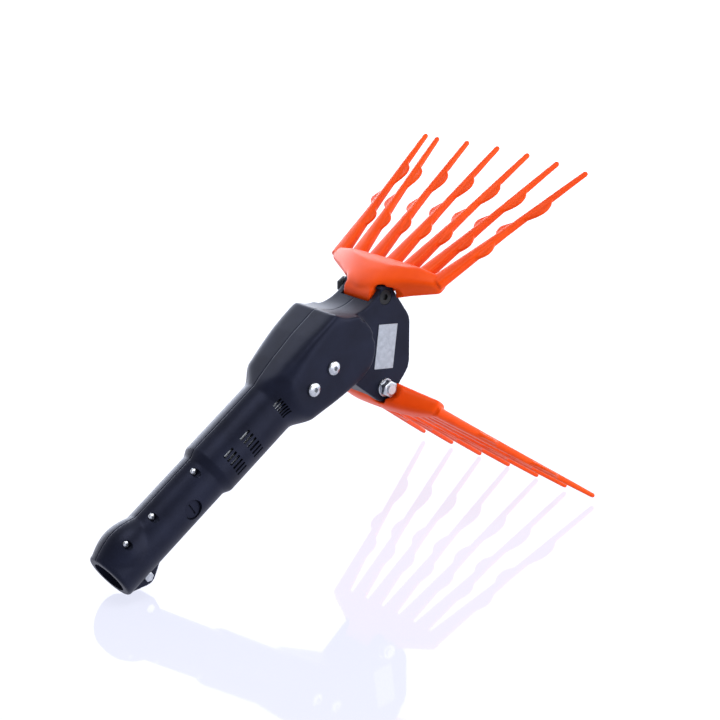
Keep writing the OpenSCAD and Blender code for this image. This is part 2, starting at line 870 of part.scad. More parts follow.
module motor_can() {
    color(steel) rest() handle_frame() difference() {
        handle_bore(motor_r, motor_back, motor_front);
        handle_bore(motor_r - can_wall, motor_back - 1, motor_front - 2);
        handle_bore(bearing_r - 2 + seat_gap, motor_front - 3, motor_front + 1);
    }
}

module motor_magnets() {
    outer_r = motor_r - can_wall - seat_gap;
    color("#3a3a3c") rest() handle_frame() intersection() {
        difference() {
            handle_bore(outer_r, motor_back + 14, motor_front - 8);
            handle_bore(outer_r - magnet_t, motor_back, motor_front);
        }
        for (side = [0, 180]) rotate([side, 0, 0]) translate([motor_back, -outer_r, 4]) cube([motor_len, 2 * outer_r, outer_r]);
    }
}

module motor_end_cap() {
    color("#2b2d31") rest() handle_frame() difference() {
        handle_bore(motor_r, motor_back - cap_len, motor_back);
        handle_bore(bearing_r - 2 + seat_gap, motor_back - cap_len - 1, motor_back + 1);
    }
}

module motor_bearings() {
    color(zinc) rest() handle_frame() for (a = [motor_front - 2, motor_back - bearing_w]) difference() {
        handle_bore(bearing_r - 2, a, a + (a > motor_back ? 2 : bearing_w));
        handle_bore(shaft_r + run_gap, a - 1, a + bearing_w + 1);
    }
}

module terminal_block() {
    block_half = wire_room_r * 0.68;
    color("#e6e2d8") rest() handle_frame() translate([pole_stop + wall + block_gap, -block_half, -block_half])
        cube([block_len, 2 * block_half, 2 * block_half]);
}

module motor_leads() {
    lead_r = 1.6;
    color("#a01818") rest() handle_frame() for (s = [1, -1]) translate([0, s * 3, -3.5])
        handle_bore(lead_r, pole_stop + wall + block_gap + block_len, motor_back - cap_len - lead_gap);
}

right_housing();
left_housing();
housing_screws();
gear_cover_screws();
clamp_bolt();
clamp_nut();
slotted_plug();
label_plate();
hinge_bolts();
hinge_nuts();
hinge_washers();
upper_comb();
lower_comb();
upper_comb_bush();
lower_comb_bush();
upper_lever_pin();
lower_lever_pin();
yoke();
crank_pin();
crank_roller();
gear_carrier();
crown_gear();
crank_shaft();
crank_bearings();
drive_pinion();
motor_shaft();
armature();
commutator();
motor_can();
motor_magnets();
motor_end_cap();
motor_bearings();
terminal_block();
motor_leads();
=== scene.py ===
import json
import math

import bmesh
import bpy
from mathutils import Matrix, Vector


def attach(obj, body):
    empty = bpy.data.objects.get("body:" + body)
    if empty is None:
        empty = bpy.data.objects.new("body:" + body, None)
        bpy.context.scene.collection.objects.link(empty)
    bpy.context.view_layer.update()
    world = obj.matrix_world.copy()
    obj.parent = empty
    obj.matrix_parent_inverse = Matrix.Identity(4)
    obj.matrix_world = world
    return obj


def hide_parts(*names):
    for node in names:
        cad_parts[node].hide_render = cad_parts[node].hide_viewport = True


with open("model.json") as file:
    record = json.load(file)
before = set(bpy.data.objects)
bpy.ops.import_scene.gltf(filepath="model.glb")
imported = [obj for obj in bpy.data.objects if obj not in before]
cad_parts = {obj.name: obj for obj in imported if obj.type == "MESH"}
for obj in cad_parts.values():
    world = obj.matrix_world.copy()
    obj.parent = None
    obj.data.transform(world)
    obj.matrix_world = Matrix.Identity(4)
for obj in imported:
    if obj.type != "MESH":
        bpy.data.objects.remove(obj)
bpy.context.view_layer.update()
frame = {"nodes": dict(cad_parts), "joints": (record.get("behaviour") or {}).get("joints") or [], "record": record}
print("frame loaded,", len(frame["nodes"]), "nodes")

# the tool frame: crank axis at zero, x to the combs, y across, z up, in millimetres
joints = {j["name"]: j for j in frame["joints"]}
crankAt = Vector(joints["crank_turn"]["pos_m"])
slideAxis = joints["yoke_slide"]["axis"]
restTilt = math.atan2(slideAxis[2], -slideAxis[0])
toRow = Matrix.Translation(crankAt) @ Matrix.Rotation(restTilt, 4, "Y") @ Matrix.Scale(0.001, 4)
# the handle frame: x along the handle, z square to it
handleAngle = math.radians(33.9)
toHandle = Matrix.Rotation(-handleAngle, 4, "Y")
hingeAt = {"upper": (51.0, 40.0), "lower": (51.0, -40.0)}
outside = 40.0  # how far across y a cutter starts, clear of the housing
smallest = 0.0005  # points closer than this are one point


def newObject(name, bm):
    mesh = bpy.data.meshes.new(name)
    bm.to_mesh(mesh)
    bm.free()
    obj = bpy.data.objects.new(name, mesh)
    bpy.context.scene.collection.objects.link(obj)
    return obj


def bake(obj):
    # applies the live modifiers to the mesh
    deps = bpy.context.evaluated_depsgraph_get()
    mesh = bpy.data.meshes.new_from_object(obj.evaluated_get(deps))
    obj.modifiers.clear()
    obj.data = mesh
    return obj


def closeUp(bm):
    bmesh.ops.remove_doubles(bm, verts=bm.verts, dist=smallest)
    bmesh.ops.recalc_face_normals(bm, faces=bm.faces)


def addSolid(name, build, matrix=Matrix.Identity(4)):
    bm = bmesh.new()
    build(bm)
    bmesh.ops.transform(bm, verts=bm.verts, matrix=matrix)
    closeUp(bm)
    return newObject(name, bm)


def cut(obj, build):
    # takes a shape out of a solid
    tool = addSolid("tool", build)
    mod = obj.modifiers.new("cut", "BOOLEAN")
    mod.operation = "DIFFERENCE"
    mod.solver = "MANIFOLD"
    mod.object = tool
    bake(obj)
    bpy.data.objects.remove(tool)
    return obj


def arc(cx, cz, r, start, end, count):
    # points on a circle from one angle to another, in degrees
    turns = [math.radians(start + (end - start) * i / (count - 1)) for i in range(count)]
    return [(cx + r * math.cos(t), cz + r * math.sin(t)) for t in turns]


def extrudeOutline(bm, outline, y0, y1):
    # a flat x, z outline drawn out across y
    face = bm.faces.new([bm.verts.new((x, y0, z)) for x, z in outline])
    grown = bmesh.ops.extrude_face_region(bm, geom=[face])
    moved = [v for v in grown["geom"] if isinstance(v, bmesh.types.BMVert)]
    bmesh.ops.translate(bm, verts=moved, vec=(0, y1 - y0, 0))


def spinProfile(bm, profile, steps=96, lift=0.0):
    # turns x, radius points about the handle's axis
    ring = [bm.verts.new((x, 0, r)) for x, r in profile]
    edges = [bm.edges.new(pair) for pair in zip(ring, ring[1:])]
    bmesh.ops.spin(bm, geom=ring + edges, cent=(0, 0, 0), axis=(1, 0, 0), angle=math.tau,
                   steps=steps, use_merge=True)
    bmesh.ops.remove_doubles(bm, verts=bm.verts, dist=smallest)
    if lift:
        bmesh.ops.translate(bm, verts=bm.verts, vec=(0, 0, lift))


def cylinder(bm, r, depth, sides, place):
    made = bmesh.ops.create_cone(bm, cap_ends=True, segments=sides, radius1=r, radius2=r,
                                 depth=depth, matrix=place)
    return made["verts"]


def rod(bm, r, x, z, y0, y1, sides=48, matrix=Matrix.Identity(4)):
    # a round bar across y
    middle = Matrix.Translation((x, (y0 + y1) / 2, z))
    return cylinder(bm, r, y1 - y0, sides, matrix @ middle @ Matrix.Rotation(math.pi / 2, 4, "X"))


def axleRod(bm, r, x0, x1, sides=64):
    # a round bar along the handle
    middle = Matrix.Translation(((x0 + x1) / 2, 0, 0))
    return cylinder(bm, r, x1 - x0, sides, toHandle @ middle @ Matrix.Rotation(math.pi / 2, 4, "Y"))


def block(bm, low, high, matrix=Matrix.Identity(4)):
    # a box between two corners
    size = [b - a for a, b in zip(low, high)]
    middle = [(b + a) / 2 for a, b in zip(low, high)]
    place = matrix @ Matrix.Translation(middle) @ Matrix.Diagonal((*size, 1))
    bmesh.ops.create_cube(bm, size=1, matrix=place)


def shade(obj, angle):
    for poly in obj.data.polygons:
        poly.use_smooth = True
    obj.data.set_sharp_from_angle(angle=math.radians(angle))


def finishPiece(obj, name, body, node, material, angle):
    # places the piece in the row frame and says what it stands for
    obj.name = name
    obj.data.name = name
    obj.data.transform(toRow)
    shade(obj, angle)
    obj.data.materials.clear()
    obj.data.materials.append(material)
    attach(obj, body)
    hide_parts(node)


def linear(hexColour):
    parts = [int(hexColour[i:i + 2], 16) / 255 for i in (1, 3, 5)]
    return [c / 12.92 if c <= 0.04045 else ((c + 0.055) / 1.055) ** 2.4 for c in parts] + [1.0]


def addNode(tree, kind, settings=None, inputs=None, links=None):
    node = tree.nodes.new(kind)
    for key, value in (settings or {}).items():
        setattr(node, key, value)
    for key, value in (inputs or {}).items():
        node.inputs[key].default_value = value
    for key, source in (links or {}).items():
        tree.links.new(source, node.inputs[key])
    return node


def newMaterial(name):
    mat = bpy.data.materials.new(name)
    mat.use_nodes = True
    tree = mat.node_tree
    tree.nodes.clear()
    out = addNode(tree, "ShaderNodeOutputMaterial")
    shader = addNode(tree, "ShaderNodeBsdfPrincipled")
    tree.links.new(shader.outputs["BSDF"], out.inputs["Surface"])
    return mat, tree, shader


def noiseMaterial(name, dark, light, grainMm, cloudMm, rough, bumpMm,
                  metallic=0.0, ior=1.5, tint="#ffffff"):
    # two colours mixed by soft clouds, a fine grain in roughness and bump
    # the grain is drawn coarser than the real one, so that it shows
    mat, tree, shader = newMaterial(name)
    place = addNode(tree, "ShaderNodeTexCoord").outputs["Object"]
    cloud = addNode(tree, "ShaderNodeTexNoise", links={"Vector": place},
                    inputs={"Scale": 1000 / cloudMm, "Detail": 4.0, "Roughness": 0.55})
    grain = addNode(tree, "ShaderNodeTexNoise", links={"Vector": place},
                    inputs={"Scale": 1000 / grainMm, "Detail": 2.0, "Roughness": 0.6})
    mix = addNode(tree, "ShaderNodeValToRGB", links={"Fac": cloud.outputs["Fac"]})
    for stop, position, colour in zip(mix.color_ramp.elements, (0.35, 0.68), (dark, light)):
        stop.position = position
        stop.color = linear(colour)
    spread = addNode(tree, "ShaderNodeMapRange", links={"Value": grain.outputs["Fac"]},
                     inputs={"From Min": 0.3, "From Max": 0.7, "To Min": rough[0], "To Max": rough[1]})
    bump = addNode(tree, "ShaderNodeBump", links={"Height": grain.outputs["Fac"]},
                   inputs={"Strength": 0.5, "Distance": bumpMm / 1000})
    tree.links.new(mix.outputs["Color"], shader.inputs["Base Color"])
    tree.links.new(spread.outputs["Result"], shader.inputs["Roughness"])
    tree.links.new(bump.outputs["Normal"], shader.inputs["Normal"])
    shader.inputs["Metallic"].default_value = metallic
    if not metallic:
        shader.inputs["IOR"].default_value = ior
        shader.inputs["Specular Tint"].default_value = linear(tint)
    return mat


def paintSide(material, limit, colour, compare):
    # a second colour on one side of the tool, split at this y
    tree = material.node_tree
    shader = next(n for n in tree.nodes if n.type == "BSDF_PRINCIPLED")
    place = addNode(tree, "ShaderNodeTexCoord").outputs["Object"]
    split = addNode(tree, "ShaderNodeSeparateXYZ", links={"Vector": place})
    side = addNode(tree, "ShaderNodeMath", settings={"operation": compare}, inputs={1: limit},
                   links={0: split.outputs["Y"]})
    mix = addNode(tree, "ShaderNodeMix", settings={"data_type": "RGBA"})
    share, first, second = (mix.inputs[i] for i in (0, 6, 7))  # the colour sockets of a mix
    tree.links.new(side.outputs["Value"], share)
    tree.links.new(shader.inputs["Base Color"].links[0].from_socket, first)
    second.default_value = linear(colour)
    tree.links.new(mix.outputs[2], shader.inputs["Base Color"])


# moulded glass-filled nylon: near black with a blue cast, soft wide highlights on a fine spark texture
blackNylon = noiseMaterial("blackMouldedNylon", "#13151f", "#1b1e2c", 0.7, 30, (0.34, 0.46), 0.025,
                           ior=1.26, tint="#c8d0ff")
# moulded polypropylene: strong orange red, a slight gloss with warm highlights
orangePlastic = noiseMaterial("orangeMouldedPolypropylene", "#e24102", "#ef4e06", 1.1, 40, (0.34, 0.46),
                              0.03, ior=1.36, tint="#ffd0b0")
# zinc plated steel: bright, slightly cloudy metal
zinc = ("#a9adb3", "#d3d6db", 0.6, 6, (0.2, 0.36), 0.02)
zincSteel = noiseMaterial("zincPlatedSteel", *zinc, metallic=1.0)
# machined steel of the gear train: grey metal with fine tool marks
machinedSteel = noiseMaterial("machinedSteel", "#7c8086", "#989ca2", 0.5, 9, (0.28, 0.42), 0.02,
                              metallic=1.0)
# sintered bronze of the bushes: dull gold brown with fine pores
bronze = noiseMaterial("sinteredBronze", "#9a733a", "#b98f4f", 0.4, 7, (0.3, 0.5), 0.02, metallic=1.0)
# as-cast aluminium alloy of the gear carrier: matt light grey skin
castAlloy = noiseMaterial("castAluminium", "#8d9197", "#a6aab0", 0.9, 12, (0.42, 0.6), 0.05, metallic=1.0)
# black oxide on the hinge bolts: satin black, with bare thread ends on the near side
blackSteel = noiseMaterial("blackOxideSteel", "#1d1e20", "#2b2c2e", 0.5, 6, (0.35, 0.5), 0.02, metallic=0.7)
insideNut = -0.0262  # metres across, within the lower nut
paintSide(blackSteel, insideNut, "#c9ccd2", "LESS_THAN")
# hinge nuts and washers: zinc plated, with the far side painted near black as painted shade
zincWithPaintedShadeSteel = noiseMaterial("zincHingeSteelPaintedShade", *zinc, metallic=1.0)
# the near black on the far side is painted shade, not a finish of its own
paintSide(zincWithPaintedShadeSteel, 0.0, "#1d1e20", "GREATER_THAN")
# satin aluminium foil of the bare label: silver grey, faintly cloudy
labelFoil = noiseMaterial("satinLabelFoil", "#959ba4", "#a9afb8", 0.6, 4, (0.35, 0.5), 0.01, metallic=0.35)
# moulded polyamide of the terminal block: off-white, half matt
whiteNylon = noiseMaterial("whiteNylon", "#d8d4ca", "#e6e2d8", 0.8, 10, (0.4, 0.55), 0.02)
# wire sleeves: dark red, half matt
redSleeve = noiseMaterial("redWireSleeve", "#8a1212", "#a81a18", 0.8, 10, (0.4, 0.55), 0.02)
print("materials made")

slotMaterials = {
    "black_plastic": blackNylon, "orange_plastic": orangePlastic, "zinc": zincSteel, "bronze": bronze,
    "steel": machinedSteel, "black_steel": blackSteel, "label_foil": labelFoil, "cast_alloy": castAlloy,
    "white_plastic": whiteNylon, "red_insulation": redSleeve,
}
for entry in frame["record"]["subparts"]:
    node = frame["nodes"][entry["node"]]
    node.data.materials.clear()
    node.data.materials.append(slotMaterials[entry["material_slot"]])

# tube, barrel and head lie in the handle frame, crest is x, z, reach and rounds of its softening
# edge: the higher, the sharper the edges between the sides of the head
housing = {
    "mouth": -263.5, "tube": 21.7, "barrel": 25.0, "rim": 1.5, "shoulder": (-150, -144), "barrelPast": 2,
    "humpLift": 6.3, "humpLength": 47, "flare": (-72, -50), "flareR": 36.0, "headR": 43.5, "overlap": 3,
    "ridge": 14.0, "frontR": 35.0, "frontLow": 1.0, "nose": 0.05, "lastStep": 0.8, "thinnest": 0.4,
    "flat": 30.5, "edge": 26,
    "roof": ((-72, 25.3), (-43, 30.0), (-15, 32.8), (14, 33.4)),
    "under": ((-72, 25.3), (-43, 28.8), (-6, 35.5)),
    "saddle": (14, 74, 43.0), "crest": (1.0, 33.0, 13, 70), "seam": 0.03, "groove": 0.28,
    "stations": 62, "ringPoints": 144, "voxel": 0.8, "soften": 16,
}
# ears round the hinges, front arcs as x, z, radius, web as points
cheek = {
    "half": 24.0, "upperR": 10.5, "lowerR": 13, "frontTop": (63.5, 13, 16), "frontLow": (61, -20, 18.5),
    "topTurn": 35.5, "lowTurn": -40.8, "backTurn": 128, "saddleTurns": (-114, -41),
    "web": [(12.6, -26.4), (0, -20), (-15, 0), (-12, 18), (-8, 31)],
}
# heel and toe as x, z, radius
lug = {
    "at": (-241, -20), "r": 9.0, "half": 9.0, "heel": (-256, -14, 7.5), "toe": (-229.5, -13, 9),
    "turns": (180, 245, 301, 350), "root": [(-235, 0), (-256, 0)],
    "holeR": 2.6, "seatR": 4.9, "through": 30,
}


def blend(t):
    t = min(1.0, max(0.0, t))
    return t * t * (3 - 2 * t)


def along(points, x):
    # straight interpolation in a row of points, level beyond its ends
    if x <= points[0][0]:
        return points[0][1]
    for (x0, v0), (x1, v1) in zip(points, points[1:]):
        if x <= x1:
            return v0 + (v1 - v0) * (x - x0) / (x1 - x0)
    return points[-1][1]


def tubeProfile():
    h = housing
    end = h["flare"][0] + h["barrelPast"]
    points = [(h["mouth"], 0), (h["mouth"], h["tube"] - h["rim"]), (h["mouth"] + h["rim"], h["tube"])]
    points += [(h["shoulder"][0], h["tube"]), (h["shoulder"][1], h["barrel"]), (end, h["barrel"])]
    return points + [(end, 0)]


def humpProfile():
    mouth, length, lift = housing["mouth"], housing["humpLength"], housing["humpLift"]
    foot = housing["tube"] - lift
    count = 16
    bow = [(mouth + length * i / count, foot + lift * math.sin(math.pi * i / count))
           for i in range(count + 1)]
    return [(mouth, 0)] + bow + [(mouth + length, 0)]


def headRadius(a):
    h = housing
    start, end = h["flare"]
    if a < end:
        return h["barrel"] + (h["flareR"] - h["barrel"]) * blend((a - start) / (end - start))
    share = min(1, (a - end) / (h["ridge"] - end))
    return h["flareR"] + (h["headR"] - h["flareR"]) * math.sin(math.pi / 2 * share)


def headRing(a):
    # one cross-section: flat sides, low roof and floor, rounded where they meet
    h = housing
    dip = math.sqrt(max(0.0, h["frontR"] ** 2 - a * a))
    drop = (max(a, h["ridge"]) - h["ridge"]) / (h["frontR"] - h["ridge"])
    front = (h["roof"][-1][1] + h["frontLow"]) * math.sqrt(max(0, 1 - drop ** 2)) - h["frontLow"]
    roof = along(h["roof"], a) if a < h["ridge"] else front
    under = along(h["under"], a) if a < h["under"][-1][0] else dip + h["frontLow"]
    edge = h["edge"]
    ring = []
    for i in range(h["ringPoints"]):
        turn = math.tau * i / h["ringPoints"]
        side, up = math.sin(turn), math.cos(turn)
        lid = max(roof if up > 0 else under, h["thinnest"])
        limits = headRadius(a) ** -edge + (abs(side) / h["flat"]) ** edge + (abs(up) / lid) ** edge
        reach = limits ** (-1 / edge)
        ring.append((a, reach * side, reach * up))
    return ring


def loft(bm, rings):
    # joins rings of points into a closed skin
    ring = bmesh.ops.create_circle(bm, cap_ends=True, segments=len(rings[0]), radius=1)["verts"]
    for number, points in enumerate(rings):
        if number:
            inside = set(ring)
            edges = {e for v in ring for e in v.link_edges if e.other_vert(v) in inside}
            grown = bmesh.ops.extrude_edge_only(bm, edges=list(edges))["geom"]
            fresh = {v for v in grown if isinstance(v, bmesh.types.BMVert)}
            ring = [next(e.other_vert(v) for e in v.link_edges if e.other_vert(v) in fresh) for v in ring]
        for v, co in zip(ring, points):
            v.co = co
    inside = set(ring)
    rim = {e for v in ring for e in v.link_edges if e.other_vert(v) in inside}
    bmesh.ops.contextual_create(bm, geom=list(rim))


def cheekOutline():
    # side view of both cheeks: hinge ears, round front, web below and saddle above
    c = cheek
    points = arc(*hingeAt["upper"], c["upperR"], c["backTurn"], c["topTurn"], 12)
    points += arc(*c["frontTop"], c["topTurn"], 0, 6) + arc(*c["frontLow"], 0, c["lowTurn"], 7)
    points += arc(*hingeAt["lower"], c["lowerR"], c["lowTurn"], -c["backTurn"], 12)
    return points + c["web"] + arc(*housing["saddle"], *c["saddleTurns"], 16)


def lugOutline():
    first, second, third, last = lug["turns"]
    points = arc(*lug["heel"], first, second, 8) + arc(*lug["at"], lug["r"], second, third, 8)
    return points + arc(*lug["toe"], third, last, 8) + lug["root"]


def saddleCut(bm):
    x, z, r = housing["saddle"]
    rod(bm, r, x, z, -outside, outside, 128)


def headForm(bm):
    start = housing["flare"][0] - housing["overlap"]  # begins inside the barrel
    front = housing["frontR"] - housing["nose"]
    count = housing["stations"]
    stations = [start + (front - start) * i / count for i in range(count - 1)]
    stations += [front - housing["lastStep"], front]
    loft(bm, [headRing(a) for a in stations])


def fused(parts, voxel, soften):
    # one moulded form: parts joined, remeshed and softened at their edges
    bm = bmesh.new()
    for part in parts:
        bm.from_mesh(part.data)
        bpy.data.objects.remove(part)
    form = newObject("form", bm)
    fuse = form.modifiers.new("fuse", "REMESH")
    fuse.mode = "VOXEL"
    fuse.voxel_size = voxel
    soft = form.modifiers.new("soft", "SMOOTH")
    soft.factor = 0.5
    soft.iterations = soften
    return bake(form)


def softenAlong(obj, x, z, reach, rounds):
    # rounds off an edge that runs across the tool at x, z
    steep = 1.6  # the softening is full over the inner part of its reach
    group = obj.vertex_groups.new(name="edge")
    for v in obj.data.vertices:
        near = 1 - math.hypot(v.co.x - x, v.co.z - z) / reach
        if near > 0:
            group.add([v.index], blend(near * steep), "REPLACE")
    soft = obj.modifiers.new("edge", "SMOOTH")
    soft.vertex_group = "edge"
    soft.factor = 0.5
    soft.iterations = rounds
    bake(obj)
    obj.vertex_groups.clear()


tubePart = addSolid("tube", lambda bm: spinProfile(bm, tubeProfile()), toHandle)
headPart = cut(addSolid("head", headForm, toHandle), saddleCut)
humpPart = addSolid("hump", lambda bm: spinProfile(bm, humpProfile(), lift=housing["humpLift"]), toHandle)
lugPart = addSolid("lug", lambda bm: extrudeOutline(bm, lugOutline(), -lug["half"], lug["half"]), toHandle)
cheekPart = addSolid("cheeks", lambda bm: extrudeOutline(bm, cheekOutline(), -cheek["half"], cheek["half"]))
body = fused([tubePart, headPart, humpPart, lugPart, cheekPart], housing["voxel"], housing["soften"])
softenAlong(body, *housing["crest"])
print("housing form:", len(body.data.polygons), "faces")

# hollows: gear and cheek as half widths, axles as radius and span along the handle, head as a side view
rooms = {
    "gearR": 30.3, "gear": 25.0, "cheek": 18.0, "boreR": 15.0, "boreDepth": 62, "past": 5,
    "slit": 1.6, "slitZ": (-45, -7.5), "windowR": 14.5, "windowDrop": 12, "windowReach": 30, "hair": 0.02,
    "axles": ((22.3, -144, -60), (13, -197.5, -151), (6.5, -203, -140), (12, -64, -15)),
    "link": ((-50, -25.02, -10), (0, 25.02, 10)),
    "head": [(2, 25), (14, 26), (27, 29), (36, 33), (51, 36), (62, 28), (73, 17), (75.4, 8), (75.4, -20),
             (72, -29), (60, -34), (46, -44), (36, -38), (17, -22.5), (2, -22)],
}
# each group: x, slot length, slot width, degrees from slot to slot, turn of the group
vents = {
    "at": ((-129, 11, 2.0, 9.5, -8), (-108.5, 11, 2.0, 9.5, -8), (-70, 9, 1.6, 6.0, -14)),
    "count": 6, "outer": -44, "inner": -18.3,
}
# screws at x, z, seat
smallScrews = {
    "at": ((-239.5, 20.5, -12.6), (-208.5, 17.6, -9.2), (-158.5, 17.6, -9.2)),
    "headR": 3.0, "headH": 2.0, "wellR": 3.5, "shankR": 2.0, "length": 16.0,
    "keyR": 1.7, "keyDepth": 1.1, "keyHalf": 0.45,
}
bigScrews = {
    "at": ((-40, 0, -housing["flat"]), (-14.5, 0, -housing["flat"])),
    "headR": 6.0, "headH": 3.2, "shankR": 3.0, "length": 10.0, "holeR": 3.1, "holeEnd": -20,
    "keyR": 2.4, "keyDepth": 2.0,
}
plug = {
    "at": -181, "r": 7.6, "wellR": 8.4, "face": -18.9, "back": -16.4,
    "slot": 1.6, "slotDepth": 1.2, "slotHalf": 5.4,
}
hinge = {
    "boltR": 4.0, "holeR": 4.1, "sinkR": 6.8, "sink": 20.8, "through": 50,
    "washerR": 8.0, "washerT": 1.6, "washerEdge": 0.3, "washerPlay": 0.1,
    "nutR": 7.5, "nutT": 6.5, "nutBevel": 0.5, "nutPlay": 0.05, "nutBore": (-60, -10),
}


def gearRoom(bm):
    rod(bm, rooms["gearR"], 0, 0, -rooms["gear"], rooms["gear"], 96)


def headRoom(bm):
    extrudeOutline(bm, rooms["head"], -rooms["cheek"], rooms["cheek"])


def combWindow(bm, sign):
    x, z = hingeAt["upper"]
    half = rooms["cheek"] - rooms["hair"]  # keeps its walls off those of the head room
    r, drop, reach = rooms["windowR"], rooms["windowDrop"], rooms["windowReach"]
    shape = arc(x, z, r, 180, 270, 12)
    shape += [(x, z - drop), (x + reach, z - drop), (x + reach, z + reach), (x - r, z + reach)]
    extrudeOutline(bm, [(px, sign * pz) for px, pz in shape], -half, half)


def poleBore(bm):
    axleRod(bm, rooms["boreR"], housing["mouth"] - rooms["past"], housing["mouth"] + rooms["boreDepth"])


def clampSlit(bm):
    half = rooms["slit"] / 2
    low, high = rooms["slitZ"]
    start, end = housing["mouth"] - rooms["past"], housing["mouth"] + rooms["boreDepth"]
    block(bm, (start, -half, low), (end, half, high), toHandle)


def ventSlots(bm):
    middle = (vents["count"] - 1) / 2
    for side in (0, 1):
        for x, length, width, step, turn in vents["at"]:
            for i in range(vents["count"]):
                lean = (1 if side == 0 else -1) * (turn - (i - middle) * step) + 180 * side
                place = toHandle @ Matrix.Rotation(math.radians(lean), 4, "X")
                low = (x - length / 2, vents["outer"], -width / 2)
                block(bm, low, (x + length / 2, vents["inner"], width / 2), place)


def screwWells(bm):
    for x, z, seat in smallScrews["at"]:
        rod(bm, smallScrews["wellR"], x, z, -outside, seat, 40, toHandle)
    for x, z, _ in bigScrews["at"]:
        rod(bm, bigScrews["holeR"], x, z, -outside, bigScrews["holeEnd"], 24, toHandle)
    rod(bm, plug["wellR"], plug["at"], 0, -outside, plug["back"], 48, toHandle)
    for y0, y1 in ((-outside, -lug["half"]), (lug["half"], outside)):
        rod(bm, lug["seatR"], *lug["at"], y0, y1, 32, toHandle)


def boltHoles(bm):
    rod(bm, lug["holeR"], *lug["at"], -lug["through"], lug["through"], 24, toHandle)
    for x, z in hingeAt.values():
        rod(bm, hinge["holeR"], x, z, -hinge["through"], hinge["through"], 32)


def boltSinks(bm):
    # the upper bolt's head is on the near side, the lower one's on the far side
    rod(bm, hinge["sinkR"], *hingeAt["upper"], -hinge["through"], -hinge["sink"], 40)
    rod(bm, hinge["sinkR"], *hingeAt["lower"], hinge["sink"], hinge["through"], 40)


cutters = [gearRoom, headRoom, lambda bm: combWindow(bm, 1), lambda bm: combWindow(bm, -1)]
cutters += [poleBore, clampSlit]
cutters += [lambda bm, axle=axle: axleRod(bm, *axle) for axle in rooms["axles"]]
cutters += [lambda bm: block(bm, *rooms["link"], toHandle), ventSlots, screwWells, boltHoles, boltSinks]
for shape in cutters:
    cut(body, shape)
print("housing cut:", len(body.data.polygons), "faces")


def halfOf(obj, side):
    # one half of the housing, with a fine groove where the halves meet
    bm = bmesh.new()
    bm.from_mesh(obj.data)
    every = bm.verts[:] + bm.edges[:] + bm.faces[:]
    seamAt = (0, side * housing["seam"], 0)
    made = bmesh.ops.bisect_plane(bm, geom=every, plane_co=seamAt, plane_no=(0, -side, 0), clear_outer=True)
    rim = [e for e in made["geom_cut"] if isinstance(e, bmesh.types.BMEdge)]
    bm.normal_update()
    for v in {v for e in rim for v in e.verts}:
        v.co -= Vector((v.normal.x, 0, v.normal.z)) * housing["groove"]
    bmesh.ops.triangle_fill(bm, edges=rim, use_beauty=True)
    bmesh.ops.recalc_face_normals(bm, faces=bm.faces)
    return newObject("half", bm)


rightHalf = halfOf(body, -1)
leftHalf = halfOf(body, 1)
bpy.data.objects.remove(body)
finishPiece(rightHalf, "rightHousing", "housing", "right_housing", blackNylon, 50)
finishPiece(leftHalf, "leftHousing", "housing", "left_housing", blackNylon, 50)
print("housing halves done")


def turned(bm, profile, place, steps=40):
    # a turned part: y, radius points about y
    part = bmesh.new()
    ring = [part.verts.new((r, y, 0)) for y, r in profile]
    edges = [part.edges.new(pair) for pair in zip(ring, ring[1:])]
    bmesh.ops.spin(part, geom=ring + edges, cent=(0, 0, 0), axis=(0, 1, 0), angle=math.tau,
                   steps=steps, use_merge=True)
    closeUp(part)
    bmesh.ops.transform(part, verts=part.verts, matrix=place)
    carry = bpy.data.meshes.new("carry")
    part.to_mesh(carry)
    part.free()
    bm.from_mesh(carry)


def screwSet(fit):
    # crowned heads and their shanks
    headR, headH, crown = fit["headR"], fit["headH"], 0.55
    offKey = math.radians(4)  # turned a little, so that no corner of the key meets an edge of the head
    turns = [math.pi / 2 * i / 8 for i in range(9)]
    profile = [(headH * (crown * (1 - math.cos(t)) - 1), headR * math.sin(t)) for t in turns]
    profile += [(0, headR), (0, fit["shankR"]), (fit["length"], fit["shankR"]), (fit["length"], 0)]
    bm = bmesh.new()
    for x, z, seat in fit["at"]:
        place = toHandle @ Matrix.Translation((x, 0, z)) @ Matrix.Rotation(offKey, 4, "Y")
        turned(bm, [(seat + y, r) for y, r in profile], place)
    return newObject("screws", bm)


def keySlots(bm, wide, high):
    for x, z, seat in smallScrews["at"]:
        top = seat - smallScrews["headH"]
        bottom = top + smallScrews["keyDepth"]
        block(bm, (x - wide, top - 1, z - high), (x + wide, bottom, z + high), toHandle)


def keySockets(bm):
    for x, z, seat in bigScrews["at"]:
        top = seat - bigScrews["headH"]
        rod(bm, bigScrews["keyR"], x, z, top - 1, top + bigScrews["keyDepth"], 6, toHandle)


smallSet = screwSet(smallScrews)
cut(smallSet, lambda bm: keySlots(bm, smallScrews["keyR"], smallScrews["keyHalf"]))
cut(smallSet, lambda bm: keySlots(bm, smallScrews["keyHalf"], smallScrews["keyR"]))
finishPiece(smallSet, "housingScrews", "housing", "housing_screws", zincSteel, 40)
bigSet = cut(screwSet(bigScrews), keySockets)
finishPiece(bigSet, "gearCoverScrews", "housing", "gear_cover_screws", zincSteel, 40)


def plugForm(bm):
    rod(bm, plug["r"], plug["at"], 0, plug["face"], plug["back"], 64, toHandle)


def plugSlot(bm):
    half, tall = plug["slot"] / 2, plug["slotHalf"]
    low = (plug["at"] - half, -outside, -tall)
    block(bm, low, (plug["at"] + half, plug["face"] + plug["slotDepth"], tall), toHandle)


plugPiece = cut(addSolid("plug", plugForm), plugSlot)
finishPiece(plugPiece, "slottedPlug", "housing", "slotted_plug", blackNylon, 30)


